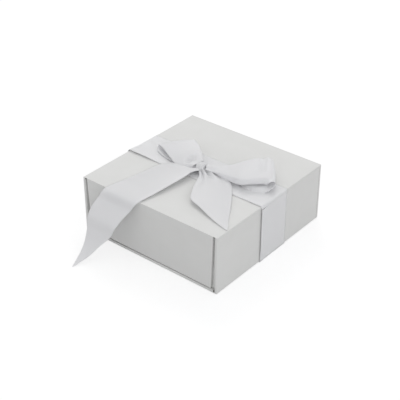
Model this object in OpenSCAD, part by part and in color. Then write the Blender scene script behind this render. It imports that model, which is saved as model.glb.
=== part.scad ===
// Square favor box: a paper-covered board tray, a hinged lid with a magnetic front flap,
// and a wide ribbon tied round it with a bow on the lid. Millimetres, +Z up.
// The front is -Y, the left and right walls are -X and +X. The origin is on the table
// under the middle of the box, on the underside of the ribbon that the box stands on.

/* [Box] */
// Outer width, left to right
box_w = 160; // [140:1:220]
// Outer depth, front to back
box_d = 160; // [140:1:220]
// Outer height of the closed box, without the ribbon
box_h = 60; // [50:1:90]

/* [Board and paper] */
// Thickness of the greyboard panels
board_t = 2; // [1.5:0.1:3]
// Thickness of the cover and lining papers
paper_t = 0.25; // [0.15:0.05:0.4]
// Width of cover paper left showing round a lining
lining_inset = 2; // [1:0.5:4]
// Gap between the base board and the walls, bridged by the papers
fold_gap = 1.5; // [1:0.1:2.5]

/* [Flap] */
// Gap between the flap and each side wall, at the lid
flap_side_gap = 2.2; // [0.8:0.1:3.5]
// Extra gap at each side by the bottom of the flap
flap_taper = 2.4; // [0:0.1:4]
// Gap between the flap and the front wall behind it
flap_wall_gap = 0.6; // [0.4:0.1:1.5]
// Gap between the bottom of the flap and the lip of the base
flap_lip_gap = 1.2; // [0.6:0.1:2.5]

/* [Magnets] */
// Diameter of the magnets and steel discs
magnet_d = 10; // [6:1:15]
// Thickness of the magnets and steel discs
magnet_t = 1.2; // [0.8:0.1:1.3]
// Distance of each magnet in from the side of the flap
magnet_inset = 23; // [12:1:45]
// Height of the magnets above the bottom of the flap
magnet_rise = 14; // [9:1:25]
// Clearance round a magnet in its pocket
magnet_fit = 0.1; // [0.05:0.05:0.2]

/* [Corner gussets] */
// Length of each leg of a corner gusset
gusset_leg = 14; // [8:1:20]

/* [Ribbon] */
// Width of the ribbon
ribbon_w = 40; // [32:1:44]
// Thickness of the ribbon
ribbon_t = 0.4; // [0.3:0.05:0.6]
// Distance that the tight ribbon stands off the box faces
ribbon_slack = 0.3; // [0.2:0.05:0.6]
// Distance of the ribbon behind the middle of the box
ribbon_back = 3; // [-5:0.5:8]
// Clearance under the loose ribbon of the bow
bow_rest = 0.3; // [0.25:0.05:0.5]

/* [Bow] */
// Height of the bow's loops above where the ribbon rests
bow_h = 14; // [12:0.5:20]
// Length of the right loop from the knot
right_loop_l = 65; // [55:1:72]
// Length of the left loop from the knot
left_loop_l = 60; // [50:1:68]
// Length of the short tail from the knot
short_tail_l = 100; // [85:1:104]
// Length of the knot, left to right
knot_l = 10; // [8:0.5:12]
// Thickness of the knot
knot_d = 9; // [8.5:0.5:11]
// Distance of the knot right of the middle of the box
knot_right = 1; // [-3:0.5:3]
// Distance of the knot in front of the middle of the box
knot_front = 2; // [0:0.5:4]

/* [Hidden] */

// Overrun of cuts past the solid they cut
over = 1;
// Slack of each mitred fold, as a share of the depth from the outer face
mitre_slack_share = 0.06;
// Gap between the ribbon on the lid and the ribbon on the side walls
ribbon_split_gap = 0.3;
// Depth of the flat under the knot
knot_flat = 0.5;
// Points along each stretch of loose ribbon between two of its listed places
ribbon_steps = 4;

wall_t = board_t + 2 * paper_t;
foot_z = ribbon_t;
base_bottom = foot_z + paper_t;
base_top = base_bottom + board_t;
floor_z = base_top + paper_t;
top_z = foot_z + box_h;
wall_top = top_z - wall_t;
side_x = box_w / 2;
inner_x = side_x - wall_t;
front_y = -box_d / 2;
back_y = box_d / 2;
inner_back_y = back_y - wall_t;
front_wall_y = front_y + wall_t + flap_wall_gap;
inner_front_y = front_wall_y + wall_t;
flap_bottom = floor_z + flap_lip_gap;
flap_top_x = inner_x - flap_side_gap;
flap_low_x = flap_top_x - flap_taper;
magnet_x = flap_low_x - magnet_inset;
magnet_z = flap_bottom + magnet_rise;
pocket_d = magnet_d + 2 * magnet_fit;
pocket_t = magnet_t + magnet_fit;
run_front = ribbon_back - ribbon_w / 2;
run_in = side_x + ribbon_slack;
run_out = run_in + ribbon_t;
run_top = top_z + ribbon_slack + ribbon_t;
rest_z = top_z + bow_rest + ribbon_t / 2;
knot_x = knot_right;
knot_y = -knot_front;

// Places along the two edges of each loose stretch of ribbon, from the knot outwards.
// Each is a share of the stretch's length, a share of the ribbon's width to the left of
// its heading, and a share of the bow's height above where the ribbon rests.
right_loop_near_shares = [
    [0.060, -0.085, 0.14], [0.300, -0.190, 0.07], [0.480, -0.315, 0.05], [0.640, -0.505, 0.09],
    [0.790, -0.665, 0.21], [0.930, -0.680, 0.25], [1.035, -0.635, 0.27], [1.090, -0.540, 0.36],
    [1.095, -0.455, 0.54], [1.070, -0.500, 0.67], [0.985, -0.575, 0.70], [0.860, -0.625, 0.68],
    [0.735, -0.665, 0.65], [0.625, -0.675, 0.58], [0.520, -0.595, 0.49], [0.370, -0.435, 0.38],
    [0.200, -0.275, 0.34], [0.062, -0.165, 0.36]
];
right_loop_far_shares = [
    [0.062, 0.085, 0.14], [0.270, 0.110, 0.10], [0.440, 0.220, 0.09], [0.580, 0.290, 0.08],
    [0.720, 0.320, 0.08], [0.850, 0.335, 0.08], [0.940, 0.380, 0.12], [0.985, 0.430, 0.40],
    [0.990, 0.440, 0.62], [0.965, 0.440, 0.80], [0.885, 0.440, 0.87], [0.770, 0.370, 0.87],
    [0.650, 0.290, 0.81], [0.560, 0.215, 0.74], [0.470, 0.150, 0.63], [0.350, 0.090, 0.53],
    [0.220, 0.030, 0.47], [0.062, 0.050, 0.42]
];
left_loop_near_shares = [
    [0.070, 0.090, 0.14], [0.270, 0.250, 0.10], [0.500, 0.445, 0.08], [0.740, 0.520, 0.07],
    [0.900, 0.515, 0.12], [0.955, 0.440, 0.37], [0.792, 0.435, 0.39], [0.630, 0.452, 0.33],
    [0.488, 0.454, 0.24], [0.353, 0.452, 0.21], [0.200, 0.362, 0.27], [0.070, 0.190, 0.32]
];
left_loop_far_shares = [
    [0.070, -0.090, 0.14], [0.260, -0.180, 0.11], [0.470, -0.300, 0.09], [0.660, -0.400, 0.08],
    [0.800, -0.400, 0.13], [0.800, -0.385, 0.42], [0.745, -0.370, 0.60], [0.690, -0.355, 0.64],
    [0.583, -0.350, 0.62], [0.450, -0.300, 0.59], [0.280, -0.210, 0.54], [0.070, -0.090, 0.42]
];
short_tail_left_shares = [
    [0.028, -0.040, 0.24], [0.150, -0.060, 0.20], [0.300, -0.170, 0.20], [0.434, -0.220, 0.25],
    [0.548, -0.218, 0.25], [0.658, -0.015, 0.18], [0.788, 0.210, 0.09], [0.894, 0.418, 0.03],
    [0.975, 0.595, 0.01]
];
short_tail_right_shares = [
    [0.034, 0.120, 0.24], [0.103, 0.345, 0.19], [0.190, 0.620, 0.13], [0.335, 0.693, 0.09],
    [0.548, 0.690, 0.06], [0.684, 0.668, 0.03], [0.814, 0.635, 0.02], [0.914, 0.630, 0.01],
    [0.970, 0.618, 0.01]
];
long_tail_left_shares = [
    [0.010, -0.110, 0.26], [0.075, -0.620, 0.18], [0.232, -0.960, 0.08], [0.487, -1.075, 0.02],
    [0.744, -1.175, 0.01], [0.988, -1.275, 0.01]
];
long_tail_right_shares = [
    [0.039, 0.053, 0.30], [0.159, -0.046, 0.34], [0.326, -0.059, 0.31], [0.564, -0.110, 0.23],
    [0.778, -0.169, 0.13], [0.988, -0.262, 0.01]
];
// Places along the two edges of the long tail in front of the flap. Each is a share of the
// ribbon's width right of the knot, and two shares of the height of the lid: how far
// the ribbon stands in front of the box, and how high it is above the table.
drop_left_shares = [
    [-1.275, 0.006, 1.005], [-1.375, 0.119, 0.863], [-1.425, 0.224, 0.752], [-1.430, 0.334, 0.604],
    [-1.410, 0.369, 0.429], [-1.375, 0.454, 0.250], [-1.335, 0.585, 0.115], [-1.290, 0.720, 0.043],
    [-1.215, 0.855, 0.015]
];
drop_right_shares = [
    [-0.262, 0.006, 1.005], [-0.380, 0.119, 0.867], [-0.475, 0.224, 0.754], [-0.565, 0.334, 0.612],
    [-0.687, 0.369, 0.437], [-0.900, 0.454, 0.265], [-1.040, 0.585, 0.125], [-1.150, 0.720, 0.046],
    [-1.200, 0.855, 0.015]
];
// Directions in which the loops and the short tail leave the knot, in degrees
right_loop_heading = 27;
left_loop_heading = 158;
short_tail_heading = -53;
long_tail_heading = -90;

cover_white = [0.93, 0.93, 0.92];
lining_white = [0.96, 0.96, 0.95];
board_grey = [0.60, 0.58, 0.54];
ribbon_white = [0.90, 0.90, 0.94];
metal_grey = [0.70, 0.71, 0.73];

// Block between two corners
module block(low, high) {
    translate(low) cube(high - low);
}

// Solid with an outline in Y and Z, drawn from one X to another
module slice(x_from, x_to, outline) {
    translate([x_from, 0, 0])
        rotate([90, 0, 90])
            linear_extrude(height = x_to - x_from) polygon(outline);
}

// Base: a board on the cover paper, which wraps its front lip, with a lining on top

module base_board() {
    color(board_grey)
        block([-inner_x + fold_gap, front_y + paper_t, base_bottom],
              [inner_x - fold_gap, inner_back_y - fold_gap, base_top]);
}

module base_wrap() {
    color(cover_white) {
        block([-side_x, front_y, foot_z], [side_x, back_y, base_bottom]);
        block([-inner_x + fold_gap, front_y, base_bottom],
              [inner_x - fold_gap, front_y + paper_t, floor_z]);
        block([-inner_x + fold_gap, front_y + paper_t, base_top],
              [inner_x - fold_gap, front_wall_y, floor_z]);
    }
}

module base_lining() {
    color(lining_white)
        block([-inner_x, inner_front_y, base_top], [inner_x, inner_back_y, floor_z]);
}

// Front wall: stands on the base behind the flap and holds the steel discs

module front_wall_core() {
    block([-inner_x, front_wall_y + paper_t, base_top],
          [inner_x, inner_front_y - paper_t, wall_top - paper_t]);
}

module front_wall_lining() {
    color(lining_white)
        block([-inner_x, inner_front_y - paper_t, floor_z],
              [inner_x, inner_front_y, wall_top - lining_inset]);
}

module front_wall_wrap() {
    color(cover_white)
        difference() {
            block([-inner_x, front_wall_y, base_top], [inner_x, inner_front_y, wall_top]);
            block([-inner_x - over, front_wall_y + paper_t, base_top - over],
                  [inner_x + over, inner_front_y - paper_t, wall_top - paper_t]);
            block([-inner_x - over, inner_front_y - wall_t / 2, base_top - over],
                  [inner_x + over, inner_front_y + over, wall_top - lining_inset]);
        }
}

module front_wall_board() {
    color(board_grey)
        difference() {
            front_wall_core();
            for (side = [-1, 1])
                magnet_pocket(side, front_wall_y + paper_t - over, pocket_t + over);
        }
}

module steel_disc(side) {
    color(metal_grey)
        translate([side * magnet_x, front_wall_y + paper_t + magnet_t, magnet_z])
            rotate([90, 0, 0]) cylinder(h = magnet_t, d = magnet_d, $fn = 64);
}

// Round pocket along Y that starts at a given Y
module magnet_pocket(side, start_y, depth) {
    translate([side * magnet_x, start_y + depth, magnet_z])
        rotate([90, 0, 0]) cylinder(h = depth, d = pocket_d, $fn = 64);
}

// Back wall: its top edge is mitred for the fold to the lid

// Outline in Y and Z, a given depth in from the outer face
function back_wall_outline(depth_out, depth_in) = [
    [back_y - depth_in, base_bottom],
    [back_y - depth_out, base_bottom],
    [back_y - depth_out, top_z - depth_out],
    [back_y - depth_in, top_z - depth_in]
];

module back_wall_board() {
    color(board_grey)
        slice(-side_x + paper_t, side_x - paper_t, back_wall_outline(paper_t, wall_t - paper_t));
}

module back_wall_lining() {
    color(lining_white)
        block([-inner_x, inner_back_y, floor_z],
              [inner_x, inner_back_y + paper_t, wall_top - lining_inset]);
}

module back_wall_wrap() {
    color(cover_white)
        difference() {
            slice(-side_x, side_x, back_wall_outline(0, wall_t));
            slice(-side_x + paper_t, side_x - paper_t,
                  [[inner_back_y + paper_t, base_bottom - over], [back_y - paper_t, base_bottom - over],
                   [back_y - paper_t, top_z - paper_t], [back_y - paper_t, top_z + over],
                   [inner_back_y + paper_t, top_z + over]]);
            block([-inner_x, inner_back_y - over, floor_z],
                  [inner_x, inner_back_y + wall_t / 2, wall_top - lining_inset]);
            block([-inner_x, inner_back_y - over, base_bottom - over],
                  [inner_x, inner_back_y + wall_t / 2, floor_z]);
        }
}

// Side walls: they run forward to the front of the box on both sides of the flap

module side_wall_board(side) {
    color(board_grey)
        mirror([side < 0 ? 1 : 0, 0, 0])
            block([inner_x + paper_t, front_y + paper_t, base_bottom],
                  [side_x - paper_t, inner_back_y, wall_top - paper_t]);
}

module side_wall_lining(side) {
    color(lining_white)
        mirror([side < 0 ? 1 : 0, 0, 0])
            block([inner_x, inner_front_y, floor_z],
                  [inner_x + paper_t, inner_back_y, wall_top - lining_inset]);
}

module side_wall_wrap(side) {
    color(cover_white)
        mirror([side < 0 ? 1 : 0, 0, 0])
            difference() {
                block([inner_x, front_y, base_bottom], [side_x, inner_back_y, wall_top]);
                block([inner_x + paper_t, front_y + paper_t, base_bottom - over],
                      [side_x - paper_t, inner_back_y + over, wall_top - paper_t]);
                block([inner_x - over, inner_front_y, floor_z],
                      [inner_x + wall_t / 2, inner_back_y + over, wall_top - lining_inset]);
            }
}

// Corner gussets: folded paper tabs that tie the walls together inside the tray

module corner_gusset(side, end_y, inward) {
    color(lining_white)
        mirror([side < 0 ? 1 : 0, 0, 0])
            translate([0, 0, floor_z])
                linear_extrude(height = wall_top - lining_inset - floor_z)
                    polygon([
                        [inner_x, end_y],
                        [inner_x, end_y + inward * gusset_leg],
                        [inner_x - paper_t, end_y + inward * gusset_leg],
                        [inner_x - paper_t, end_y + inward * paper_t],
                        [inner_x - gusset_leg, end_y + inward * paper_t],
                        [inner_x - gusset_leg, end_y]
                    ]);
}

// Lid: mitred along both folds, square over the side walls

// Outline in Y and Z between two depths under the top face
function lid_outline(depth_out, depth_in) = [
    [front_y + depth_out * (1 + mitre_slack_share), top_z - depth_out],
    [front_y + depth_in * (1 + mitre_slack_share), top_z - depth_in],
    [back_y - depth_in * (1 + mitre_slack_share), top_z - depth_in],
    [back_y - depth_out * (1 + mitre_slack_share), top_z - depth_out]
];

// Corner of the lid that sits on the front end of a side wall
module lid_corner(side, inset) {
    mirror([side < 0 ? 1 : 0, 0, 0])
        block([inner_x + inset, front_y + inset, wall_top + inset],
              [side_x - inset, front_y + 2 * wall_t, top_z - inset]);
}

module lid_body(inset) {
    slice(-side_x + inset, side_x - inset, lid_outline(inset, wall_t - inset));
    lid_corner(-1, inset);
    lid_corner(1, inset);
}

module lid_board() {
    color(board_grey) lid_body(paper_t);
}

module lid_lining_sheet(extra) {
    slice(-inner_x + lining_inset, inner_x - lining_inset,
          [[inner_front_y + lining_inset, wall_top - extra],
           [inner_back_y - lining_inset, wall_top - extra],
           [inner_back_y - lining_inset, wall_top + paper_t],
           [inner_front_y + lining_inset, wall_top + paper_t]]);
}

module lid_lining() {
    color(lining_white) lid_lining_sheet(0);
}

module lid_wrap() {
    color(cover_white)
        difference() {
            lid_body(0);
            lid_body(paper_t);
            lid_lining_sheet(over);
            for (fold = [-1, 1]) lid_fold_cut(fold);
        }
}

// Takes the cover paper off the mitred faces, where the fold has none
module lid_fold_cut(fold) {
    half_x = fold < 0 ? inner_x : side_x - paper_t;
    slack = 1 + mitre_slack_share;
    edge_y = box_d / 2;
    slice(-half_x, half_x, [
        [fold * (edge_y - paper_t * slack), top_z - paper_t],
        [fold * (edge_y - (wall_t - paper_t) * slack), wall_top + paper_t],
        [fold * (edge_y + over), wall_top + paper_t],
        [fold * (edge_y + over), top_z - paper_t]
    ]);
}

// Flap: mitred along the fold to the lid, a little narrower at the bottom

// Outline in Y and Z between two depths in from the front face
function flap_outline(depth_out, depth_in, bottom) = [
    [front_y + depth_in, bottom],
    [front_y + depth_in, top_z - depth_in],
    [front_y + depth_out, top_z - depth_out],
    [front_y + depth_out, bottom]
];

// Block with the tapered sides of the flap, drawn in a given distance
module flap_taper_block(inset) {
    translate([0, front_y + 2 * wall_t, 0])
        rotate([90, 0, 0])
            linear_extrude(height = 4 * wall_t)
                polygon([
                    [-flap_low_x + inset, flap_bottom + inset],
                    [flap_low_x - inset, flap_bottom + inset],
                    [flap_top_x - inset, wall_top],
                    [flap_top_x - inset, top_z + over],
                    [-flap_top_x + inset, top_z + over],
                    [-flap_top_x + inset, wall_top]
                ]);
}

module flap_body(depth_out, depth_in, inset) {
    intersection() {
        slice(-side_x, side_x, flap_outline(depth_out, depth_in, flap_bottom));
        flap_taper_block(inset);
    }
}

module flap_board() {
    color(board_grey)
        difference() {
            flap_body(paper_t, wall_t - paper_t, paper_t);
            for (side = [-1, 1])
                magnet_pocket(side, front_y + wall_t - paper_t - pocket_t, pocket_t + over);
        }
}

module flap_lining() {
    color(lining_white)
        intersection() {
            slice(-side_x, side_x,
                  [[front_y + wall_t - paper_t, flap_bottom], [front_y + wall_t, flap_bottom],
                   [front_y + wall_t, wall_top - lining_inset],
                   [front_y + wall_t - paper_t, wall_top - lining_inset]]);
            flap_taper_block(lining_inset);
        }
}

module flap_wrap() {
    color(cover_white)
        difference() {
            flap_body(0, wall_t, 0);
            intersection() {
                slice(-side_x, side_x,
                      [[front_y + wall_t - paper_t, flap_bottom], [front_y + wall_t - paper_t, top_z],
                       [front_y + paper_t, top_z], [front_y + paper_t, flap_bottom]]);
                flap_taper_block(paper_t);
            }
            intersection() {
                slice(-side_x, side_x,
                      [[front_y + wall_t / 2, flap_bottom], [front_y + wall_t + over, flap_bottom],
                       [front_y + wall_t + over, wall_top - lining_inset],
                       [front_y + wall_t / 2, wall_top - lining_inset]]);
                flap_taper_block(lining_inset);
            }
        }
}

module flap_magnet(side) {
    color(metal_grey)
        translate([side * magnet_x, front_y + wall_t - paper_t, magnet_z])
            rotate([90, 0, 0]) cylinder(h = magnet_t, d = magnet_d, $fn = 64);
}

// Tight ribbon: a band round the box, parted where the lid meets the side walls

module ribbon_under_run() {
    color(ribbon_white)
        block([-run_out, run_front, 0], [run_out, run_front + ribbon_w, ribbon_t]);
}

module ribbon_side_run(side) {
    color(ribbon_white)
        mirror([side < 0 ? 1 : 0, 0, 0])
            block([run_in, run_front, ribbon_t],
                  [run_out, run_front + ribbon_w, wall_top - ribbon_split_gap]);
}

module ribbon_top_run() {
    color(ribbon_white)
        difference() {
            block([-run_out, run_front, wall_top], [run_out, run_front + ribbon_w, run_top]);
            block([-run_in, run_front - over, wall_top - over],
                  [run_in, run_front + ribbon_w + over, run_top - ribbon_t]);
        }
}

// Knot: a turn of ribbon round the pinched strands, flat where it sits on the band

module bow_knot() {
    knot_r = knot_d / 2;
    crown = knot_r / 6;
    color(ribbon_white)
        intersection() {
            translate([knot_x - knot_l / 2, knot_y, run_top + knot_r - knot_flat])
                rotate([0, 90, 0])
                    rotate_extrude($fn = 48)
                        polygon([
                            [0, 0], [knot_r - 2 * crown, 0], [knot_r - crown / 2, knot_l / 6],
                            [knot_r, knot_l / 3], [knot_r, 2 * knot_l / 3],
                            [knot_r - crown / 2, 5 * knot_l / 6], [knot_r - 2 * crown, knot_l],
                            [0, knot_l]
                        ]);
            block([-side_x, front_y, run_top], [side_x, back_y, run_top + 2 * knot_d]);
        }
}

// Loose ribbon: a smooth sheet between two edge curves

// Point on the curve through p1 and p2, at a share t of the way
function smooth(p0, p1, p2, p3, t) =
    0.5 * (2 * p1 + t * (p2 - p0) + t * t * (2 * p0 - 5 * p1 + 4 * p2 - p3)
           + t * t * t * (3 * p1 - p0 - 3 * p2 + p3));

// Curve through every listed place
function edge_curve(places) = let(last = len(places) - 1) concat(
    [for (i = [0 : last - 1]) for (k = [0 : ribbon_steps - 1])
        smooth(places[max(i - 1, 0)], places[i], places[i + 1], places[min(i + 2, last)],
               k / ribbon_steps)],
    [places[last]]);

// Places of an edge, from its shares along and across a heading from the knot
function heading_places(shares, heading, reach) = [
    for (s = shares)
        let(along = s[0] * reach, across = s[1] * ribbon_w)
        [knot_x + along * cos(heading) - across * sin(heading),
         knot_y + along * sin(heading) + across * cos(heading),
         rest_z + s[2] * bow_h]
];

// Places of an edge of the drop, from its shares across, out and up
function drop_places(shares) = [
    for (s = shares) [knot_x + s[0] * ribbon_w, front_y - s[1] * top_z, s[2] * top_z]
];

function unit(v) = v / norm(v);

// Face direction of the sheet at station i of the edge curves a and b
function sheet_normal(a, b, i) =
    let(last = len(a) - 1, i0 = max(i - 1, 0), i1 = min(i + 1, last))
    unit(cross(a[i1] + b[i1] - a[i0] - b[i0], b[i] - a[i]));

module ribbon_sheet(a, b) {
    n = len(a);
    lift = [for (i = [0 : n - 1]) sheet_normal(a, b, i) * ribbon_t / 2];
    points = concat(
        [for (i = [0 : n - 1]) a[i] + lift[i]], [for (i = [0 : n - 1]) b[i] + lift[i]],
        [for (i = [0 : n - 1]) b[i] - lift[i]], [for (i = [0 : n - 1]) a[i] - lift[i]]);
    sides = [for (k = [0 : 3]) for (i = [0 : n - 2])
        let(p = k * n + i, q = ((k + 1) % 4) * n + i)
        each [[p, q + 1, p + 1], [p, q, q + 1]]];
    ends = [[0, 2 * n, n], [0, 3 * n, 2 * n],
            [n - 1, 2 * n - 1, 3 * n - 1], [n - 1, 3 * n - 1, 4 * n - 1]];
    color(ribbon_white) polyhedron(points = points, faces = concat(sides, ends));
}

module bow_left_loop() {
    ribbon_sheet(edge_curve(heading_places(left_loop_near_shares, left_loop_heading, left_loop_l)),
                 edge_curve(heading_places(left_loop_far_shares, left_loop_heading, left_loop_l)));
}

module bow_right_loop() {
    ribbon_sheet(edge_curve(heading_places(right_loop_near_shares, right_loop_heading, right_loop_l)),
                 edge_curve(heading_places(right_loop_far_shares, right_loop_heading, right_loop_l)));
}

module bow_short_tail() {
    ribbon_sheet(edge_curve(heading_places(short_tail_left_shares, short_tail_heading, short_tail_l)),
                 edge_curve(heading_places(short_tail_right_shares, short_tail_heading, short_tail_l)));
}

module bow_long_tail() {
    reach = knot_y - front_y;
    ribbon_sheet(edge_curve(heading_places(long_tail_left_shares, long_tail_heading, reach)),
                 edge_curve(heading_places(long_tail_right_shares, long_tail_heading, reach)));
}

module bow_long_tail_drop() {
    ribbon_sheet(edge_curve(drop_places(drop_left_shares)), edge_curve(drop_places(drop_right_shares)));
}

base_board();
base_wrap();
base_lining();
front_wall_board();
front_wall_wrap();
front_wall_lining();
back_wall_board();
back_wall_wrap();
back_wall_lining();
side_wall_board(-1);  // left_wall_board
side_wall_wrap(-1);  // left_wall_wrap
side_wall_lining(-1);  // left_wall_lining
side_wall_board(1);  // right_wall_board
side_wall_wrap(1);  // right_wall_wrap
side_wall_lining(1);  // right_wall_lining
corner_gusset(-1, inner_front_y, 1);  // front_left_gusset
corner_gusset(1, inner_front_y, 1);  // front_right_gusset
corner_gusset(-1, inner_back_y, -1);  // back_left_gusset
corner_gusset(1, inner_back_y, -1);  // back_right_gusset
steel_disc(-1);  // left_steel_disc
steel_disc(1);  // right_steel_disc
lid_board();
lid_wrap();
lid_lining();
flap_board();
flap_wrap();
flap_lining();
flap_magnet(-1);  // left_flap_magnet
flap_magnet(1);  // right_flap_magnet
ribbon_under_run();
ribbon_side_run(-1);  // ribbon_left_run
ribbon_side_run(1);  // ribbon_right_run
ribbon_top_run();
bow_knot();
bow_left_loop();
bow_right_loop();
bow_long_tail();
bow_long_tail_drop();
bow_short_tail();
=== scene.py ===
"""Square favor box: white paper over greyboard, a hinged lid with a magnetic front flap, and
a wide white satin ribbon tied round it in a bow. Metres, +Z up, the front flap facing -Y."""
import math
import bpy
import numpy as np
from mathutils import Matrix, Vector


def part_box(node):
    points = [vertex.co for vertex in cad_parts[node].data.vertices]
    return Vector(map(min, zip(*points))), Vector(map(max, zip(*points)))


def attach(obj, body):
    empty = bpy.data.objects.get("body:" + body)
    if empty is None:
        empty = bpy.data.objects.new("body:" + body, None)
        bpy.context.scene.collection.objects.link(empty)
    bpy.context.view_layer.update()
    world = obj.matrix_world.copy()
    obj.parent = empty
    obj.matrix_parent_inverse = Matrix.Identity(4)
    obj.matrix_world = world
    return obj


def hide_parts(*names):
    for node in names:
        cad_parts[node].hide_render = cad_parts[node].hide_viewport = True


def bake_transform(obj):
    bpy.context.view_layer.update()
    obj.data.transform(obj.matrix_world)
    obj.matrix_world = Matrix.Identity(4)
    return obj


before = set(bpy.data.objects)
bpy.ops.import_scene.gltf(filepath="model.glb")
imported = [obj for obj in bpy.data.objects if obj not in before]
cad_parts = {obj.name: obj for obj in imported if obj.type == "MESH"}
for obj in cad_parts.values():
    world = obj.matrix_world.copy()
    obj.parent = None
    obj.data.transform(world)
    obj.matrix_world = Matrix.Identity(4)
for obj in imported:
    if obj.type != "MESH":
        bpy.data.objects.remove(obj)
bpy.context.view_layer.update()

# Camera, floor and lamps: a table-top studio seen from above the front right corner, in the
# even light of a white tent, with soft lamps over the back left, at the right and low in front.
view_azimuth = math.radians(39.302)
view_rise = math.radians(32.616)
view_target = Vector((-0.0296, 0.0310, 0.0))
view_distance = 1.0037
film_w = 36
lens_px = 989.77
picture_px = 400

camera_data = bpy.data.cameras.new("camera")
camera_data.sensor_width = film_w
camera_data.lens = film_w * (lens_px / picture_px)
camera = bpy.data.objects.new("camera", camera_data)
bpy.context.scene.collection.objects.link(camera)
view_back = Vector((math.sin(view_azimuth) * math.cos(view_rise),
                    -math.cos(view_azimuth) * math.cos(view_rise), math.sin(view_rise)))
view_right = Vector((math.cos(view_azimuth), math.sin(view_azimuth), 0.0))
view_up = view_back.cross(view_right)
view_turn = Matrix((view_right, view_up, view_back)).transposed().to_4x4()
camera.matrix_world = Matrix.Translation(view_target + view_back * view_distance) @ view_turn
bpy.context.scene.camera = camera
bpy.context.scene.view_settings.view_transform = "Standard"

floor_half = 3.0
floor_corners = [(-floor_half, -floor_half, 0), (floor_half, -floor_half, 0),
                 (floor_half, floor_half, 0), (-floor_half, floor_half, 0)]
floor_mesh = bpy.data.meshes.new("floor")
floor_mesh.from_pydata(floor_corners, [], [(0, 1, 2, 3)])
floor = bpy.data.objects.new("floor", floor_mesh)
bpy.context.scene.collection.objects.link(floor)


def seen_rays(tree):
    """Factor that is 1 for camera rays and for rays mirrored or sent through by a surface, but
    not for light that soaks through cloth."""
    path = tree.nodes.new("ShaderNodeLightPath")
    factor = path.outputs["Is Camera Ray"]
    for kind in ("Is Glossy Ray", "Is Transmission Ray"):
        larger = tree.nodes.new("ShaderNodeMath")
        larger.operation = "MAXIMUM"
        tree.links.new(factor, larger.inputs[0])
        tree.links.new(path.outputs[kind], larger.inputs[1])
        factor = larger.outputs[0]
    clear = tree.nodes.new("ShaderNodeMath")
    clear.operation = "SUBTRACT"
    clear.use_clamp = True
    tree.links.new(factor, clear.inputs[0])
    tree.links.new(path.outputs["Is Diffuse Ray"], clear.inputs[1])
    return clear.outputs[0]


# The floor that is seen glows up to white and keeps the shadow. The floor that sends light
# back to the box is plain light grey.
floor_paint = bpy.data.materials.new("floor_paint")
floor_paint.use_nodes = True
nodes = floor_paint.node_tree.nodes
links = floor_paint.node_tree.links
nodes.clear()
floor_out = nodes.new("ShaderNodeOutputMaterial")
floor_seen = nodes.new("ShaderNodeBsdfDiffuse")
floor_seen.inputs["Color"].default_value = (0.45, 0.45, 0.45, 1)
floor_glow = nodes.new("ShaderNodeEmission")
floor_glow.inputs["Color"].default_value = (1, 1, 1, 1)
floor_glow.inputs["Strength"].default_value = 0.66
floor_bright = nodes.new("ShaderNodeAddShader")
floor_dim = nodes.new("ShaderNodeBsdfDiffuse")
floor_dim.inputs["Color"].default_value = (0.62, 0.62, 0.62, 1)
floor_mix = nodes.new("ShaderNodeMixShader")
links.new(floor_seen.outputs[0], floor_bright.inputs[0])
links.new(floor_glow.outputs[0], floor_bright.inputs[1])
links.new(seen_rays(floor_paint.node_tree), floor_mix.inputs[0])
links.new(floor_dim.outputs[0], floor_mix.inputs[1])
links.new(floor_bright.outputs[0], floor_mix.inputs[2])
links.new(floor_mix.outputs[0], floor_out.inputs[0])
floor_mesh.materials.append(floor_paint)

# The tent is seen as plain white, and lights the box evenly, a little cooler than white.
studio = bpy.data.worlds.new("studio")
bpy.context.scene.world = studio
studio.use_nodes = True
nodes = studio.node_tree.nodes
links = studio.node_tree.links
nodes.clear()
studio_out = nodes.new("ShaderNodeOutputWorld")
studio_seen = nodes.new("ShaderNodeBackground")
studio_seen.inputs["Color"].default_value = (1, 1, 1, 1)
studio_seen.inputs["Strength"].default_value = 1.0
studio_light = nodes.new("ShaderNodeBackground")
studio_light.inputs["Color"].default_value = (0.985, 0.99, 1.0, 1)
studio_light.inputs["Strength"].default_value = 0.70
studio_mix = nodes.new("ShaderNodeMixShader")
links.new(seen_rays(studio.node_tree), studio_mix.inputs[0])
links.new(studio_light.outputs[0], studio_mix.inputs[1])
links.new(studio_seen.outputs[0], studio_mix.inputs[2])
links.new(studio_mix.outputs[0], studio_out.inputs[0])

lamp_aim = Vector((0, 0, 0.03))


def soft_lamp(name, place, size, power, colour):
    """Square area lamp at a place, its face turned to the middle of the box."""
    data = bpy.data.lights.new(name, "AREA")
    data.shape = "SQUARE"
    data.size = size
    data.energy = power
    data.color = colour
    lamp = bpy.data.objects.new(name, data)
    bpy.context.scene.collection.objects.link(lamp)
    turn = (Vector(place) - lamp_aim).to_track_quat("Z", "Y")
    lamp.matrix_world = Matrix.Translation(place) @ turn.to_matrix().to_4x4()


soft_lamp("key_lamp", (-1.15, 1.25, 1.75), size=1.0, power=8.0, colour=(1.0, 0.985, 0.95))
soft_lamp("right_fill", (2.2, -0.5, 1.0), size=1.5, power=6.5, colour=(0.98, 0.985, 1.0))
soft_lamp("low_fill", (1.2, -2.0, 0.55), size=1.0, power=1.7, colour=(0.98, 0.98, 1.0))


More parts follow.
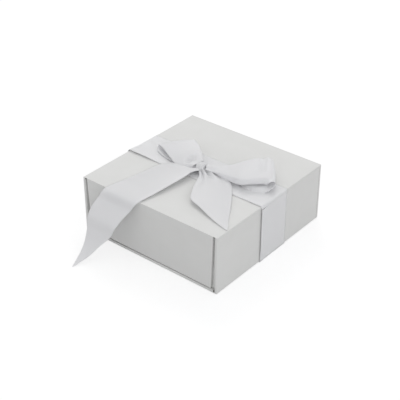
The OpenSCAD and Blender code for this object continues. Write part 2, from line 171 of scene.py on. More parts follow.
# Greyboard cores: one panel of 2 mm pressed grey board in each wall, the base, the lid and
# the flap, cut square and glued to the back of the cover paper. They keep their CAD solids.
def noise_bump(tree, vector, scale, strength, distance):
    """Bump whose height is fractal noise of the given scale, in waves per metre."""
    noise = tree.nodes.new("ShaderNodeTexNoise")
    noise.inputs["Scale"].default_value = scale
    noise.inputs["Detail"].default_value = 3.0
    bump = tree.nodes.new("ShaderNodeBump")
    bump.inputs["Strength"].default_value = strength
    bump.inputs["Distance"].default_value = distance
    tree.links.new(vector, noise.inputs["Vector"])
    tree.links.new(noise.outputs[0], bump.inputs["Height"])
    return bump.outputs[0]


def plain_finish(name, low, high, scale, roughness, specular, bump_scale, bump_strength,
                 bump_depth, metallic=0.0):
    """Principled material: noise of one scale mixes the low and high colours, and finer
    noise gives the bump. Both read object coordinates."""
    material = bpy.data.materials.new(name)
    material.use_nodes = True
    tree = material.node_tree
    shader = tree.nodes["Principled BSDF"]
    place = tree.nodes.new("ShaderNodeTexCoord").outputs["Object"]
    cloud = tree.nodes.new("ShaderNodeTexNoise")
    cloud.inputs["Scale"].default_value = scale
    cloud.inputs["Detail"].default_value = 4.0
    ramp = tree.nodes.new("ShaderNodeValToRGB")
    ramp.color_ramp.elements[0].position = 0.3
    ramp.color_ramp.elements[0].color = (*low, 1)
    ramp.color_ramp.elements[1].position = 0.7
    ramp.color_ramp.elements[1].color = (*high, 1)
    tree.links.new(place, cloud.inputs["Vector"])
    tree.links.new(cloud.outputs[0], ramp.inputs[0])
    tree.links.new(ramp.outputs[0], shader.inputs["Base Color"])
    tree.links.new(noise_bump(tree, place, bump_scale, bump_strength, bump_depth),
                   shader.inputs["Normal"])
    shader.inputs["Roughness"].default_value = roughness
    shader.inputs["Specular IOR Level"].default_value = specular
    shader.inputs["Metallic"].default_value = metallic
    return material


def dress_node(node, material):
    """Gives a CAD node's object one material in place of its own."""
    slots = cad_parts[node].data.materials
    slots.clear()
    slots.append(material)


panels = ("base", "front_wall", "back_wall", "left_wall", "right_wall", "lid", "flap")
greyboard = plain_finish("greyboard", low=(0.27, 0.25, 0.22), high=(0.36, 0.34, 0.30),
                         scale=900.0, roughness=0.95, specular=0.2,
                         bump_scale=2600.0, bump_strength=0.4, bump_depth=0.0002)
for panel in panels:
    dress_node(panel + "_board", greyboard)

# Lining papers and corner gussets: thin white uncoated sheets glued over the bare board and
# the turned-in borders, and the folded paper angles that tie the walls at the corners.
lining_paper = plain_finish("lining_paper", low=(0.78, 0.78, 0.76), high=(0.82, 0.82, 0.80),
                            scale=260.0, roughness=0.8, specular=0.25,
                            bump_scale=1500.0, bump_strength=0.25, bump_depth=0.0001)
for panel in panels:
    dress_node(panel + "_lining", lining_paper)
for corner in ("front_left", "front_right", "back_left", "back_right"):
    dress_node(corner + "_gusset", lining_paper)

# Magnets and steel discs: plated discs glued into round recesses in the flap board, and
# plain rolled steel discs in the front wall board behind them.
plated = plain_finish("magnet_plating", low=(0.62, 0.63, 0.66), high=(0.70, 0.71, 0.74),
                      scale=1200.0, roughness=0.22, specular=0.5,
                      bump_scale=5000.0, bump_strength=0.08, bump_depth=0.00005, metallic=1.0)
rolled = plain_finish("rolled_steel", low=(0.42, 0.42, 0.43), high=(0.55, 0.55, 0.56),
                      scale=700.0, roughness=0.42, specular=0.5,
                      bump_scale=3500.0, bump_strength=0.2, bump_depth=0.00005, metallic=1.0)
for side in ("left", "right"):
    dress_node(side + "_flap_magnet", plated)
    dress_node(side + "_steel_disc", rolled)

# Cover paper: smooth white paper with a faint sheen, glued to the boards and turned in at
# their edges. Each leaf is drawn tight round its panel, so every edge is a small round fold,
# and the strips at the ends of the lid's and the flap's creases are mitred.
lining_low, lining_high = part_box("lid_lining")
paper_t = lining_high.z - lining_low.z
# With this radius the boards' square corners stay inside the paper.
fold_radius = 0.00046
fold_steps = 3
past_fold = fold_radius * 1.6
border = 0.002
crease_share = 0.02

cover_paper = plain_finish("cover_paper", low=(0.79, 0.79, 0.775), high=(0.81, 0.81, 0.797),
                           scale=55.0, roughness=0.5, specular=0.42,
                           bump_scale=2400.0, bump_strength=0.12, bump_depth=0.00006)


def fold_cuts(low, high, extra=()):
    """Places to cut a side from low to high: spaced by the tangent of even angles within
    a fold's radius of each end, so that they round to even arcs. One more cut lies past the
    fold on a side that has room for it, and the extra ones are added."""
    share = 1 - np.tan(np.linspace(math.pi / 4, 0, fold_steps + 1))
    near = fold_radius * share
    inner = [past_fold] if high - low > 4 * fold_radius else []
    places = np.concatenate([low + near, low + np.array(inner), np.array(extra, float),
                             high - np.array(inner), high - near])
    return np.unique(np.round(places, 7))


def grid_quads(index):
    """Quads between the neighbours in a grid of point numbers."""
    corners = [index[:-1, :-1], index[1:, :-1], index[1:, 1:], index[:-1, 1:]]
    return np.stack(corners, -1).reshape(-1, 4)


def box_side(axis, sign, low, high, cuts):
    """One face of a box as a grid of points and of quads that face outwards."""
    a, b = [k for k in range(3) if k != axis]
    ga, gb = np.meshgrid(cuts[a], cuts[b], indexing="ij")
    points = np.empty(ga.shape + (3,))
    points[..., a], points[..., b] = ga, gb
    points[..., axis] = high[axis] if sign > 0 else low[axis]
    quads = grid_quads(np.arange(ga.size).reshape(ga.shape))
    outwards = (sign > 0) == (axis != 1)
    return points.reshape(-1, 3), quads if outwards else quads[:, ::-1]


def paper_leaf(name, low, high, extra, keep, body, node, reshape=None):
    """Sheet round a box: a point p of the box's face moves to q + r (p - q) / |p - q|, where
    q is p held the fold's radius r inside, and keep(side, middle) says which quads stay. The
    reshape, where there is one, moves the points after that."""
    low, high = np.array(low, float), np.array(high, float)
    cuts = [fold_cuts(low[k], high[k], extra[k]) for k in range(3)]
    points, quads, start = [], [], 0
    for axis in range(3):
        for sign in (-1, 1):
            p, f = box_side(axis, sign, low, high, cuts)
            side = "-+"[sign > 0] + "xyz"[axis]
            kept = np.broadcast_to(keep(side, p[f].mean(1)), len(f))
            points.append(p)
            quads.append(f[kept] + start)
            start += len(p)
    points, quads = np.concatenate(points), np.concatenate(quads)
    held = np.clip(points, low + fold_radius, high - fold_radius)
    away = points - held
    points = held + fold_radius * away / np.linalg.norm(away, axis=1, keepdims=True)
    if reshape is not None:
        points = reshape(points)
    used, quads = np.unique(quads, return_inverse=True)
    points, quads = points[used], quads.reshape(-1, 4)
    points, merged = np.unique(np.round(points, 8), axis=0, return_inverse=True)
    quads = merged.reshape(-1)[quads]
    mesh = bpy.data.meshes.new(name)
    mesh.from_pydata(points.tolist(), [], quads.tolist())
    mesh.shade_smooth()
    mesh.materials.append(cover_paper)
    leaf = bpy.data.objects.new(name, mesh)
    bpy.context.scene.collection.objects.link(leaf)
    thick = leaf.modifiers.new("paper", "SOLIDIFY")
    thick.thickness = paper_t
    thick.offset = -1
    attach(leaf, body)
    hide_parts(node)


# Places of the walls and the lid, from the boxes of the cover paper's own nodes.
box_low, box_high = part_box("base_wrap")
lid_low, lid_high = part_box("lid_wrap")
wall_low, wall_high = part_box("right_wall_wrap")
front_low, front_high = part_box("front_wall_wrap")
side_x, front_y, back_y = box_high.x, box_low.y, box_high.y
inner_x, wall_t = wall_low.x, wall_high.x - wall_low.x
foot_z, top_z, wall_top = box_low.z, lid_high.z, lid_low.z
inner_back_y = back_y - wall_t


def right_wall_side(side, middle):
    """Outer face, front and top edges, the turned-in border at the top and the front stretch."""
    inside = (middle[:, 2] > wall_top - border) | (middle[:, 1] < front_high.y)
    return {"+x": True, "-y": True, "+z": True, "-x": inside, "+y": False, "-z": False}[side]


def left_wall_side(side, middle):
    """The right wall's sides, seen in a mirror."""
    return right_wall_side({"+x": "-x", "-x": "+x"}.get(side, side), middle)


inside_cuts = ((), (front_high.y,), (wall_top - border,))
paper_leaf("right_wall_paper", (inner_x, front_y, foot_z), (side_x, inner_back_y, wall_top),
           inside_cuts, right_wall_side, "tray", "right_wall_wrap")
paper_leaf("left_wall_paper", (-side_x, front_y, foot_z), (-inner_x, inner_back_y, wall_top),
           inside_cuts, left_wall_side, "tray", "left_wall_wrap")


def back_wall_side(side, middle):
    """Outer face, both end strips and the inside border at the top. Nothing closes the top,
    where the paper runs on over the lid."""
    inside = (middle[:, 2] > wall_top - border) & (middle[:, 2] < wall_top)
    return {"+y": True, "-x": True, "+x": True, "-y": inside, "+z": False, "-z": False}[side]


def back_wall_mitre(points):
    """Above the wall's board the end strips narrow evenly to the lid's crease."""
    reach = np.clip((top_z - points[:, 2]) / (top_z - wall_top), crease_share, 1)
    out = points.copy()
    out[:, 1] = back_y - (back_y - points[:, 1]) * reach
    return out


paper_leaf("back_wall_paper", (-side_x, inner_back_y, foot_z), (side_x, back_y, top_z),
           ((), (), (wall_top - border, wall_top)), back_wall_side, "tray", "back_wall_wrap",
           back_wall_mitre)


def front_wall_side(side, middle):
    """Outer face, top edge and the turned-in border behind it."""
    return {"-y": True, "+z": True, "+y": middle[:, 2] > wall_top - border,
            "-x": False, "+x": False, "-z": False}[side]


paper_leaf("front_wall_paper", front_low, front_high, ((), (), (wall_top - border,)),
           front_wall_side, "tray", "front_wall_wrap")

lip_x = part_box("base_board")[1].x
lip_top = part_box("base_lining")[1].z


def base_side(side, middle):
    """Underside, and between the side walls the lip's front edge and top."""
    between = np.abs(middle[:, 0]) < lip_x
    return {"-z": True, "-y": between, "+z": between & (middle[:, 1] < front_low.y),
            "-x": False, "+x": False, "+y": False}[side]


paper_leaf("base_paper", (-side_x, front_y, foot_z), (side_x, back_y, lip_top),
           ((-lip_x, lip_x), (front_low.y,), ()), base_side, "tray", "base_wrap")

lining_x, lining_front, lining_back = lining_high.x, lining_low.y, lining_high.y


def lid_side(side, middle):
    """Top, side edges, the corners over the side walls and the border under the lid."""
    x, y = np.abs(middle[:, 0]), middle[:, 1]
    under = (x > lining_x) & (y < inner_back_y) & ((x > inner_x) | (y > front_y + wall_t))
    under |= (x < lining_x) & (y > lining_back) & (y < inner_back_y)
    under |= (x < lining_x) & (y < lining_front) & (y > front_y + wall_t)
    return {"+z": True, "-y": x > inner_x, "-x": True, "+x": True, "-z": under,
            "+y": False}[side]


def lid_mitre(points):
    """Past the lid's board the side edges narrow evenly to the crease, above the back wall's."""
    reach = np.clip((back_y - points[:, 1]) / (back_y - inner_back_y), crease_share, 1)
    out = points.copy()
    out[:, 2] = top_z - (top_z - points[:, 2]) * reach
    return out


paper_leaf("lid_paper", (-side_x, front_y, wall_top), (side_x, back_y, top_z),
           ((-inner_x, -lining_x, lining_x, inner_x),
            (front_y + wall_t, lining_front, lining_back, inner_back_y), ()),
           lid_side, "lid", "lid_wrap", lid_mitre)

flap_low, flap_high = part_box("flap_wrap")
flap_taper = 0.0024
flap_border = 0.0028


def flap_side(side, middle):
    """Front, side and bottom edges, and the turned-in border round the lining."""
    x, z = np.abs(middle[:, 0]), middle[:, 2]
    turned = (x > flap_high.x - flap_border) | (z < flap_low.z + border) | (z > wall_top - border)
    return {"-y": True, "-x": True, "+x": True, "-z": True,
            "+y": turned & (z < wall_top), "+z": False}[side]


def flap_narrow(points):
    """Each half of the flap narrows evenly from the lid down to the bottom, and its side
    edges narrow upwards to the crease."""
    drop = np.clip((wall_top - points[:, 2]) / (wall_top - flap_low.z), 0, 1)
    reach = np.clip((top_z - points[:, 2]) / (top_z - wall_top), crease_share, 1)
    out = points.copy()
    out[:, 1] = flap_low.y + (points[:, 1] - flap_low.y) * reach
    out[:, 0] -= np.sign(points[:, 0]) * drop * flap_taper * np.abs(points[:, 0]) / flap_high.x
    return out


paper_leaf("flap_paper", flap_low, flap_high,
           ((-flap_high.x + flap_border, flap_high.x - flap_border), (),
            (flap_low.z + border, wall_top - border, wall_top)),
           flap_side, "flap", "flap_wrap", flap_narrow)

# Satin ribbon: 40 mm wide white polyester satin with woven edges, in one length round the
# box. It is split where the lid meets the side walls, because the lid opens there.
ribbon_low, ribbon_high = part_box("ribbon_top_run")
ribbon_w = ribbon_high.y - ribbon_low.y
ribbon_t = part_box("ribbon_under_run")[1].z
cloth_t = 0.00032
selvedge_w = 0.0009
weft_pitch = 0.0003
through_share = 0.29
# Painted light: the band's satin lets less light through than the bow's, which makes it render
# brighter.
lit_band_through_share = 0.20

satin = bpy.data.materials.new("satin_ribbon")
satin.use_nodes = True
satin_tree = satin.node_tree
satin_shader = satin_tree.nodes["Principled BSDF"]
satin_shader.inputs["Roughness"].default_value = 0.44
satin_shader.inputs["Specular IOR Level"].default_value = 0.6
satin_shader.inputs["Sheen Weight"].default_value = 0.1
satin_shader.inputs["Sheen Roughness"].default_value = 0.4
satin_place = satin_tree.nodes.new("ShaderNodeUVMap")
satin_place.uv_map = "ribbon"
satin_split = satin_tree.nodes.new("ShaderNodeSeparateXYZ")
satin_tree.links.new(satin_place.outputs[0], satin_split.inputs[0])


def satin_math(operation, first, second=0.0):
    """Math node on a socket and a number, or on two sockets."""
    node = satin_tree.nodes.new("ShaderNodeMath")
    node.operation = operation
    satin_tree.links.new(first, node.inputs[0])
    if isinstance(second, float):
        node.inputs[1].default_value = second
    else:
        satin_tree.links.new(second, node.inputs[1])
    return node.outputs[0]


# Rows of weft run across the ribbon every 0.3 mm, and long faint streaks run along it. The
# cloth is thin, so part of the light that falls on one face comes out of the other.
weft = satin_math("SINE", satin_math("MULTIPLY", satin_split.outputs[0], 2 * math.pi / weft_pitch))
streak_stretch = satin_tree.nodes.new("ShaderNodeMapping")
streak_stretch.inputs["Scale"].default_value = (60.0, 1400.0, 1.0)
satin_tree.links.new(satin_place.outputs[0], streak_stretch.inputs["Vector"])
streak = satin_tree.nodes.new("ShaderNodeTexNoise")
streak.inputs["Scale"].default_value = 1.0
streak.inputs["Detail"].default_value = 3.0
satin_tree.links.new(streak_stretch.outputs[0], streak.inputs["Vector"])
from_middle = satin_math("ABSOLUTE", satin_math("SUBTRACT", satin_split.outputs[1], ribbon_w / 2))
on_edge = satin_math("GREATER_THAN", from_middle, ribbon_w / 2 - selvedge_w)
satin_height = satin_math("ADD", satin_math("MULTIPLY", weft, 0.25),
                          satin_math("ADD", satin_math("MULTIPLY", streak.outputs[0], 1.2),
                                     satin_math("MULTIPLY", on_edge, 0.8)))
satin_bump = satin_tree.nodes.new("ShaderNodeBump")
satin_bump.inputs["Strength"].default_value = 0.35
satin_bump.inputs["Distance"].default_value = 0.00006
satin_tree.links.new(satin_height, satin_bump.inputs["Height"])
satin_tree.links.new(satin_bump.outputs[0], satin_shader.inputs["Normal"])
satin_tone = satin_tree.nodes.new("ShaderNodeValToRGB")
satin_tone.color_ramp.elements[0].position = 0.25
satin_tone.color_ramp.elements[0].color = (0.975, 0.975, 0.985, 1)
satin_tone.color_ramp.elements[1].position = 0.75
satin_tone.color_ramp.elements[1].color = (0.99, 0.99, 0.998, 1)
satin_tree.links.new(streak.outputs[0], satin_tone.inputs[0])
satin_tree.links.new(satin_tone.outputs[0], satin_shader.inputs["Base Color"])
satin_through = satin_tree.nodes.new("ShaderNodeBsdfTranslucent")
satin_tree.links.new(satin_tone.outputs[0], satin_through.inputs["Color"])
satin_mix = satin_tree.nodes.new("ShaderNodeMixShader")
satin_mix.inputs[0].default_value = through_share
satin_tree.links.new(satin_shader.outputs[0], satin_mix.inputs[1])
satin_tree.links.new(satin_through.outputs[0], satin_mix.inputs[2])
satin_tree.links.new(satin_mix.outputs[0], satin_tree.nodes["Material Output"].inputs["Surface"])

# Painted light: a copy of the satin that lets less light through, so the band that lies on the
# paper renders brighter than the bow.
lit_band_satin = satin.copy()
lit_band_satin.name = "lit_band_satin_ribbon"
lit_band_satin.node_tree.nodes[satin_mix.name].inputs[0].default_value = lit_band_through_share


def ribbon_piece(name, middle, body=None, cloth=satin):
    """Closed sheet of even thickness round a grid of middle points, its first axis along the
    ribbon and its second across: each point moves half the thickness along the surface's
    normal, both ways, and strips close the four edges. The map holds the mean length along
    the ribbon and an even share of its width, in metres."""
    n, m = middle.shape[:2]
    normal = np.cross(np.gradient(middle, axis=0), np.gradient(middle, axis=1))
    normal /= np.linalg.norm(normal, axis=2, keepdims=True) + 1e-12
    points = np.concatenate([(middle + normal * cloth_t / 2).reshape(-1, 3),
                             (middle - normal * cloth_t / 2).reshape(-1, 3)])
    index = np.arange(n * m).reshape(n, m)
    top = grid_quads(index)
    rim = np.concatenate([index[:, 0], index[-1, 1:], index[-2::-1, -1], index[0, -2:0:-1]])
    ahead = np.roll(rim, -1)
    wall = np.stack([ahead, rim, rim + n * m, ahead + n * m], -1)
    quads = np.concatenate([top, top[:, ::-1] + n * m, wall])
    run = np.zeros((n, m))
    run[1:] = np.cumsum(np.linalg.norm(np.diff(middle, axis=0), axis=2).mean(1))[:, None]
    place = np.tile(np.linspace(0, ribbon_w, m), (n, 1))
    flat = np.tile(np.stack([run, place], -1).reshape(-1, 2), (2, 1))
    mesh = bpy.data.meshes.new(name)
    mesh.from_pydata(points.tolist(), [], quads.tolist())
    layer = mesh.uv_layers.new(name="ribbon")
    corner = np.empty(len(mesh.loops), np.int32)
    mesh.loops.foreach_get("vertex_index", corner)
    layer.data.foreach_set("uv", flat[corner].astype(np.float32).ravel())
    mesh.shade_smooth()
    mesh.materials.append(cloth)
    piece = bpy.data.objects.new(name, mesh)
    bpy.context.scene.collection.objects.link(piece)
    if body is not None:
        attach(piece, body)
    return piece


def ease(t):
    """Smooth step from 0 to 1."""
    t = np.clip(t, 0, 1)
    return t * t * (3 - 2 * t)


# Band on the lid: it lies on the lid, stands off a little at its near edge on the left, and
# rounds softly over both side edges down to the split.
band_gap = 0.00035
band_round = 0.0016
split_z = wall_top - 0.00015
band_x = side_x + band_gap
band_z = top_z + band_gap
band_steps = 10
near_share = 0.45
left_lift, left_from = 0.0013, -0.035
right_lift, right_from = 0.0004, 0.045
lift_run = 0.03
lift_turn = 0.002

across = np.linspace(0, 1, 25)
near = ease((near_share - across) / near_share)


def band_grid(x, z):
    """Places x and z along the band, each repeated at even steps over the ribbon's width."""
    return np.stack(np.broadcast_arrays(x, ribbon_low.y + ribbon_w * across, z), -1)


turn = np.linspace(0, math.pi / 2, band_steps + 1)
corner_x = band_x - band_round + band_round * np.cos(turn)
corner_z = band_z - band_round + band_round * np.sin(turn)
edge_z = np.linspace(split_z, band_z - band_round, 6)[:-1]
flat_x = np.linspace(band_x - band_round, 0, 60)[1:]
half = np.concatenate([np.stack([np.full(len(edge_z), band_x), edge_z], 1),
                       np.stack([corner_x, corner_z], 1),
                       np.stack([flat_x, np.full(len(flat_x), band_z)], 1)])
path = np.concatenate([half, (half * [-1, 1])[-2::-1]])
path_x, path_z = path[:, :1], path[:, 1:]

# The near edge lifts towards both sides of the lid, and on the way down its lift turns from
# upwards to sideways.
lift = (left_lift * ease((left_from - path_x) / lift_run)
        + right_lift * ease((path_x - right_from) / lift_run)) * near
sideways = ease((band_z - path_z) / lift_turn)
grid = band_grid(path_x + np.sign(path_x) * lift * sideways, path_z + lift * (1 - sideways))
top_band = ribbon_piece("lid_ribbon", grid, "lid", lit_band_satin)
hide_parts("ribbon_top_run")

# Band down the two side walls: drawn tight, with its near edge standing off the wall, a
# little at the foot and more from 20 mm up.
foot_stand = 0.0004
added_stand = 0.0007
stand_run = 0.02
for side, sign in (("left", -1), ("right", 1)):
    down = np.linspace(ribbon_t, split_z, 40)[:, None]
    stand = foot_stand + added_stand * ease((down - ribbon_t) / stand_run)
    grid = band_grid(sign * (band_x + stand * near ** 1.5), down)
    run = ribbon_piece(side + "_ribbon", grid if sign < 0 else grid[::-1], "tray", lit_band_satin)
    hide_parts("ribbon_" + side + "_run")

# Band under the box: flat on the table, with the box's weight on it.
grid = band_grid(np.linspace(-band_x, band_x, 50)[:, None], ribbon_t / 2)
under_band = ribbon_piece("under_ribbon", grid, "tray", lit_band_satin)
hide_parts("ribbon_under_run")

# Bow: the same ribbon, tied over the band. Each loose stretch is a smooth surface between
# two edge curves. Near the knot its edges curl under and it closes to a soft tube.
knot_low, knot_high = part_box("bow_knot")
knot_x, knot_y = (knot_low.x + knot_high.x) / 2, (knot_low.y + knot_high.y) / 2
rest_z = top_z + 0.0005
bow_h = 0.014


def smooth_edges(first, second, count):
    """Catmull-Rom curves through two lists of places, at count shared steps that are even
    in length halfway between the two curves."""
    p = np.stack([first, second], 1)
    p = np.concatenate([p[:1] * 2 - p[1:2], p, p[-1:] * 2 - p[-2:-1]])
    t = np.linspace(0, 1, 12, endpoint=False)[None, :, None, None]
    p0, p1, p2, p3 = (p[k:len(p) - 3 + k][:, None] for k in range(4))
    fine = 0.5 * (2 * p1 + t * (p2 - p0) + t * t * (2 * p0 - 5 * p1 + 4 * p2 - p3)
                  + t ** 3 * (3 * p1 - p0 - 3 * p2 + p3))
    fine = np.concatenate([fine.reshape(-1, 2, 3), p[-2:-1]])
    middle = fine.mean(1)
    run = np.concatenate([[0], np.cumsum(np.linalg.norm(np.diff(middle, axis=0), axis=1))])
    even = np.linspace(0, run[-1], count)
    columns = [np.interp(even, run, fine.reshape(-1, 6)[:, k]) for k in range(6)]
    return np.stack(columns[:3], 1), np.stack(columns[3:], 1)


def bow_places(shares, heading, reach):
    """Places from shares along and across a heading from the knot, and up by the bow's height."""
    s = np.array(shares)
    h = math.radians(heading)
    along, side = s[:, 0] * reach, s[:, 1] * ribbon_w
    return np.stack([knot_x + along * math.cos(h) - side * math.sin(h),
                     knot_y + along * math.sin(h) + side * math.cos(h),
                     rest_z + s[:, 2] * bow_h], 1)


def unit_rows(vectors):
    """Vectors divided by their lengths."""
    return vectors / (np.linalg.norm(vectors, axis=-1, keepdims=True) + 1e-12)


def ribbon_surface(edge_a, edge_b, count, wide, curl, height, relief):
    """Each cross-section is an arc of an ellipse that stands between the two edge curves: at
    t from -1 to 1 it reaches sin(pi curl t) across and cos(pi curl t) up, scaled to the
    height, so past a curl of a half the edges tuck under. The relief, a function of the
    shares u along and v across, is added along the surface's normal."""
    a, b = smooth_edges(edge_a, edge_b, count)
    u = np.linspace(0, 1, count)[:, None]
    v = np.linspace(0, 1, wide)[None, :]
    most = math.pi * curl(u)
    angle = most * (2 * v - 1)
    side = 0.5 + 0.5 * np.sin(angle) / np.where(most < math.pi / 2, np.sin(most), 1.0)
    up = (np.cos(angle) - np.cos(most)) / (1 - np.cos(most)) * height(u)
    out = unit_rows(np.cross(np.gradient((a + b) / 2, axis=0), b - a))
    sheet = a[:, None] + (b - a)[:, None] * side[..., None] + out[:, None] * up[..., None]
    normal = unit_rows(np.cross(np.gradient(sheet, axis=0), np.gradient(sheet, axis=1)))
    return sheet + normal * relief(u, v)[..., None]


def turned_edge(sheet, angle):
    """Each small step across the ribbon is turned about the ribbon's length by an angle that
    depends on the shares u and v, and the steps are added up again from the far edge."""
    u = np.linspace(0, 1, sheet.shape[0])[:, None]
    v = np.linspace(0, 1, sheet.shape[1])[None, :-1]
    step = sheet[:, :-1] - sheet[:, 1:]
    axis = unit_rows(np.gradient(sheet.mean(1), axis=0))[:, None]
    turn = angle(u, v)[..., None]
    turned = step * np.cos(turn) + np.cross(axis, step) * np.sin(turn) \
        + axis * (axis * step).sum(2, keepdims=True) * (1 - np.cos(turn))
    return np.cumsum(np.concatenate([turned, sheet[:, -1:]], 1)[:, ::-1], axis=1)[:, ::-1]


def loop_pleats(u, v, late, fade):
    """Pleats of a loop beside the knot: six waves of 0.7 mm where it leaves, gone by a share
    of 0.26, and three of 0.5 mm where it comes back, which grow over a fade from late on."""
    return (0.0007 * np.cos(12 * math.pi * v) * ease((0.26 - u) / 0.12)
            + 0.0005 * np.cos(6 * math.pi * v) * ease((u - late) / fade))


# Right loop: the larger one, lying open to the front, so its dark inside shows under the rim.
# Its near edge is folded down, steeply on the upper strand and less on the lower one.
right_heading = 27
right_reach = 0.065
right_near = bow_places([
    (0.060, -0.085, 0.14), (0.300, -0.190, 0.07), (0.480, -0.315, 0.05), (0.640, -0.505, 0.09),
    (0.790, -0.665, 0.21), (0.930, -0.680, 0.25), (1.035, -0.635, 0.27), (1.090, -0.540, 0.36),
    (1.095, -0.455, 0.54), (1.070, -0.500, 0.67), (0.985, -0.575, 0.70), (0.860, -0.625, 0.68),
    (0.735, -0.665, 0.65), (0.625, -0.675, 0.58), (0.520, -0.595, 0.49), (0.370, -0.435, 0.38),
    (0.200, -0.275, 0.34), (0.062, -0.165, 0.36)], right_heading, right_reach)
right_far = bow_places([
    (0.062, 0.085, 0.14), (0.270, 0.110, 0.10), (0.440, 0.220, 0.09), (0.580, 0.290, 0.08),
    (0.720, 0.320, 0.08), (0.850, 0.335, 0.08), (0.940, 0.380, 0.12), (0.985, 0.430, 0.40),
    (0.990, 0.440, 0.62), (0.965, 0.440, 0.80), (0.885, 0.440, 0.87), (0.770, 0.370, 0.87),
    (0.650, 0.290, 0.81), (0.560, 0.215, 0.74), (0.470, 0.150, 0.63), (0.350, 0.090, 0.53),
    (0.220, 0.030, 0.47), (0.062, 0.050, 0.42)], right_heading, right_reach)


def right_curl(u):
    """0.14 along the loop, rising to 0.80 where it leaves the knot and 0.64 where it returns."""
    return 0.14 + 0.66 * ease((0.24 - u) / 0.22) + 0.50 * ease((u - 0.86) / 0.14)


def right_height(u):
    """Bulge towards the loop's inside: 1 mm as it leaves the knot, then 1.6 mm the other way
    from the outer end on, and 1 mm more beside the knot."""
    return (0.0010 * ease((0.30 - u) / 0.1) - 0.0016 * ease((u - 0.45) / 0.1)
            - 0.0010 * ease((u - 0.84) / 0.12))


def right_relief(u, v):
    """The pleats, and a valley 1.6 mm deep across the far part of the upper strand, whose
    depth is a bell curve of the share along."""
    return (loop_pleats(u, v, 0.88, 0.12)
            + 0.0016 * np.exp(-((u - 0.595) / 0.020) ** 2) * ease((v - 0.2) / 0.4))


def right_fold(u, v):
    """Angle of the near edge: 0.85 radians on the lower strand, and on the upper one 1.35 the
    other way, easing to 0.9. It fades out past a strip along the edge, which takes 0.16 of
    the width, and up to 0.235 from four fifths of the loop on."""
    lean = (0.85 * ease((u - 0.24) / 0.08) * ease((0.46 - u) / 0.06)
            - ease((u - 0.54) / 0.06) * (1.35 - 0.45 * ease((u - 0.70) / 0.08)))
    strip = 0.16 + 0.075 * ease((u - 0.73) / 0.08) * ease((1.10 - u) / 0.2)
    return lean * ease((strip - v) / 0.08)


grid = ribbon_surface(right_near, right_far, count=170, wide=41, curl=right_curl,
                      height=right_height, relief=right_relief)
right_loop = ribbon_piece("right_loop_ribbon", turned_edge(grid, right_fold), "lid")
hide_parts("bow_right_loop")

# Left loop: smaller and flatter. Its mouth is open only at the outer end, and from there to
# the knot its near edge lies on the long tail.
left_heading = 158
left_reach = 0.060
left_near = bow_places([
    (0.070, 0.090, 0.14), (0.270, 0.250, 0.10), (0.500, 0.445, 0.08), (0.740, 0.520, 0.07),
    (0.900, 0.515, 0.12), (0.955, 0.440, 0.37), (0.792, 0.435, 0.39), (0.630, 0.452, 0.33),
    (0.488, 0.454, 0.24), (0.353, 0.456, 0.20), (0.200, 0.385, 0.21), (0.070, 0.215, 0.25)],
    left_heading, left_reach)
left_far = bow_places([
    (0.070, -0.090, 0.14), (0.260, -0.180, 0.11), (0.470, -0.300, 0.09), (0.660, -0.400, 0.08),
    (0.800, -0.400, 0.13), (0.800, -0.385, 0.42), (0.745, -0.370, 0.60), (0.690, -0.355, 0.64),
    (0.583, -0.350, 0.62), (0.450, -0.300, 0.59), (0.280, -0.210, 0.54), (0.070, -0.090, 0.42)],
    left_heading, left_reach)


def left_curl(u):
    """0.14 along the loop, rising to 0.80 where it leaves the knot and 0.84 where it returns."""
    return 0.14 + 0.66 * ease((0.22 - u) / 0.2) + 0.70 * ease((u - 0.76) / 0.2)


def left_height(u):
    """Bulge towards the loop's outside: 1 mm inwards as it leaves the knot, then 1.8 mm
    outwards from the outer end on, and 1.4 mm more beside the knot."""
    return (-0.0010 * ease((0.28 - u) / 0.1) + 0.0018 * ease((u - 0.45) / 0.1)
            + 0.0014 * ease((u - 0.74) / 0.14))


def left_relief(u, v):
    """The pleats, and a dimple 3.6 mm deep in the upper strand beside the knot, whose depth
    is a bell curve both ways."""
    return (loop_pleats(u, v, 0.80, 0.15)
            - 0.0036 * np.exp(-((u - 0.89) / 0.035) ** 2 - ((v - 0.45) / 0.12) ** 2))


grid = ribbon_surface(left_near, left_far, count=140, wide=41, curl=left_curl,
                      height=left_height, relief=left_relief)
left_loop = ribbon_piece("left_loop_ribbon", grid, "lid")
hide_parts("bow_left_loop")

# Short tail: cut on the slant, so it ends in a point at the lid's right edge.
short_heading = -53
short_reach = 0.100
short_left = bow_places([
    (0.028, -0.040, 0.24), (0.150, -0.060, 0.20), (0.300, -0.170, 0.20), (0.434, -0.220, 0.25),
    (0.548, -0.218, 0.25), (0.658, -0.015, 0.18), (0.788, 0.210, 0.09), (0.894, 0.418, 0.03),
    (0.975, 0.595, 0.01)], short_heading, short_reach)
short_right = bow_places([
    (0.034, 0.120, 0.24), (0.103, 0.345, 0.19), (0.190, 0.620, 0.13), (0.335, 0.693, 0.09),
    (0.548, 0.690, 0.06), (0.684, 0.668, 0.03), (0.814, 0.635, 0.02), (0.914, 0.630, 0.01),
    (0.970, 0.618, 0.01)], short_heading, short_reach)


def short_curl(u):
    """0.16 along the tail, rising to 0.56 at the knot."""
    return 0.16 + 0.40 * ease((0.14 - u) / 0.14)


def short_height(u):
    """Crown of up to 1.8 mm that fades out to the point, and one of 1.2 mm at the knot."""
    return 0.0018 * ease(u / 0.15) * ease((1 - u) / 0.5) + 0.0012 * ease((0.15 - u) / 0.15)


def short_relief(u, v):
    """Three waves of 2.1 mm at the knot, which fade as a bell curve of the share along."""
    return 0.0021 * np.cos(6 * math.pi * v) * np.exp(-(u / 0.19) ** 2)


grid = ribbon_surface(short_left, short_right, count=100, wide=41, curl=short_curl,
                      height=short_height, relief=short_relief)
short_tail = ribbon_piece("short_tail_ribbon", grid, "lid")
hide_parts("bow_short_tail")
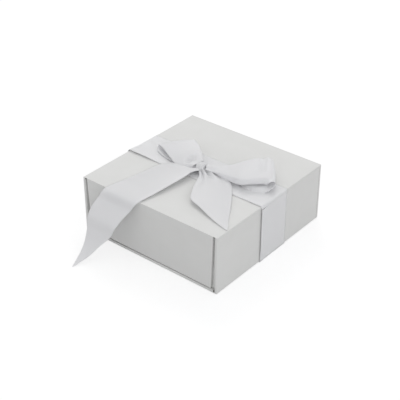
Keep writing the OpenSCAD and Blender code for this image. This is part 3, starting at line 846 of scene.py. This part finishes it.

# Long tail: it runs to the front edge of the lid, bends over it and hangs in front of the
# flap, curling out to its slanted point on the table.
tail_heading = -90
tail_reach = knot_y - front_y
tail_left = bow_places([
    (0.010, -0.110, 0.26), (0.075, -0.620, 0.18), (0.232, -0.960, 0.08), (0.487, -1.075, 0.02),
    (0.744, -1.175, 0.01)], tail_heading, tail_reach)
tail_right = bow_places([
    (0.039, 0.053, 0.30), (0.159, -0.046, 0.34), (0.326, -0.059, 0.31), (0.564, -0.110, 0.23),
    (0.778, -0.169, 0.13)], tail_heading, tail_reach)


def drop_places(shares):
    """Places from shares of the ribbon's width right of the knot, and of the lid's height
    out in front of the box and up from the table."""
    s = np.array(shares)
    return np.stack([knot_x + s[:, 0] * ribbon_w, front_y - s[:, 1] * top_z, s[:, 2] * top_z], 1)


drop_left = drop_places([
    (-1.275, 0.030, 1.003), (-1.375, 0.119, 0.863), (-1.425, 0.224, 0.752), (-1.430, 0.334, 0.604),
    (-1.410, 0.369, 0.429), (-1.375, 0.454, 0.250), (-1.335, 0.585, 0.115), (-1.290, 0.720, 0.043),
    (-1.215, 0.855, 0.015)])
drop_right = drop_places([
    (-0.262, 0.030, 1.003), (-0.380, 0.119, 0.867), (-0.475, 0.224, 0.754), (-0.565, 0.334, 0.612),
    (-0.687, 0.369, 0.437), (-0.900, 0.454, 0.265), (-1.040, 0.585, 0.125), (-1.150, 0.720, 0.046),
    (-1.200, 0.855, 0.015)])


def tail_curl(u):
    """0.12 along the tail, rising to 0.52 at the knot."""
    return 0.12 + 0.4 * ease((0.05 - u) / 0.05)


def tail_height(u):
    """Crown of 1.2 mm on the lid that ends before its front edge, and one of 0.8 mm at the
    knot. The hanging part is flat across."""
    return 0.0012 * ease(u / 0.1) * ease((0.42 - u) / 0.1) + 0.0008 * ease((0.05 - u) / 0.05)


def tail_relief(u, v):
    """Two and a half waves of 0.8 mm at the knot, which fade as a bell curve along."""
    return 0.0008 * np.cos(5 * math.pi * v) * np.exp(-(u / 0.06) ** 2)


grid = ribbon_surface(np.concatenate([tail_left, drop_left]),
                      np.concatenate([tail_right, drop_right]), count=220, wide=33,
                      curl=tail_curl, height=tail_height, relief=tail_relief)
long_tail = ribbon_piece("long_tail_ribbon", grid)
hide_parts("bow_long_tail", "bow_long_tail_drop")
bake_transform(long_tail)

# Knot: a turn of the ribbon, folded lengthwise into four layers and drawn tight round the
# strands. Its two ends meet underneath, on the band.
layer_gap = 0.00038
layers = 4
fold_half = math.pi * layer_gap / 4
layer_long = (ribbon_w - 2 * (layers - 1) * fold_half) / layers
knot_core = 0.0029
knot_flat = 0.0011
knot_draw = 0.85
knot_wave = 0.0003
knot_shift = 0.0010
end_gap = 0.06


def folded_strip(count):
    """Cross-section of the folded ribbon at count even steps: straight passes to and fro along
    the knot, joined by half circles, so it gives a place along and a height over the core."""
    step = layer_long + 2 * fold_half
    run = np.linspace(0, ribbon_w, count)
    layer = np.minimum((run // step).astype(int), layers - 1)
    past = run - layer * step
    bend = np.clip((past - layer_long) / (2 * fold_half), 0, 1) * math.pi
    along = np.minimum(past, layer_long) - layer_long / 2 + np.sin(bend) * layer_gap / 2
    along = np.where(layer % 2 == 0, along, -along)
    return along, layer * layer_gap + (1 - np.cos(bend)) * layer_gap / 2


# Towards both ends the turn draws in on the strands, by the eighth power of the share along
# the knot. A low wave winds round it, the turn shifts to and fro along the knot, and it is a
# little flatter than it is wide.
along, over_core = folded_strip(101)
turn = np.linspace(-math.pi / 2 + end_gap, 1.5 * math.pi - end_gap, 97)[:, None]
slope = along / (layer_long / 2)
reach = ((knot_core + over_core) * (1 - knot_draw * slope ** 8)
         + knot_wave * np.cos(2.6 * math.pi * slope + 1.3 * turn))
grid = np.stack([knot_x + along - knot_shift * np.sin(turn + 0.6),
                 knot_y - np.cos(turn) * reach - knot_flat * np.tanh(3 * np.cos(turn)),
                 (knot_low.z + knot_high.z) / 2 + np.sin(turn) * reach], -1)
knot = ribbon_piece("bow_knot_ribbon", grid, "lid")
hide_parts("bow_knot")
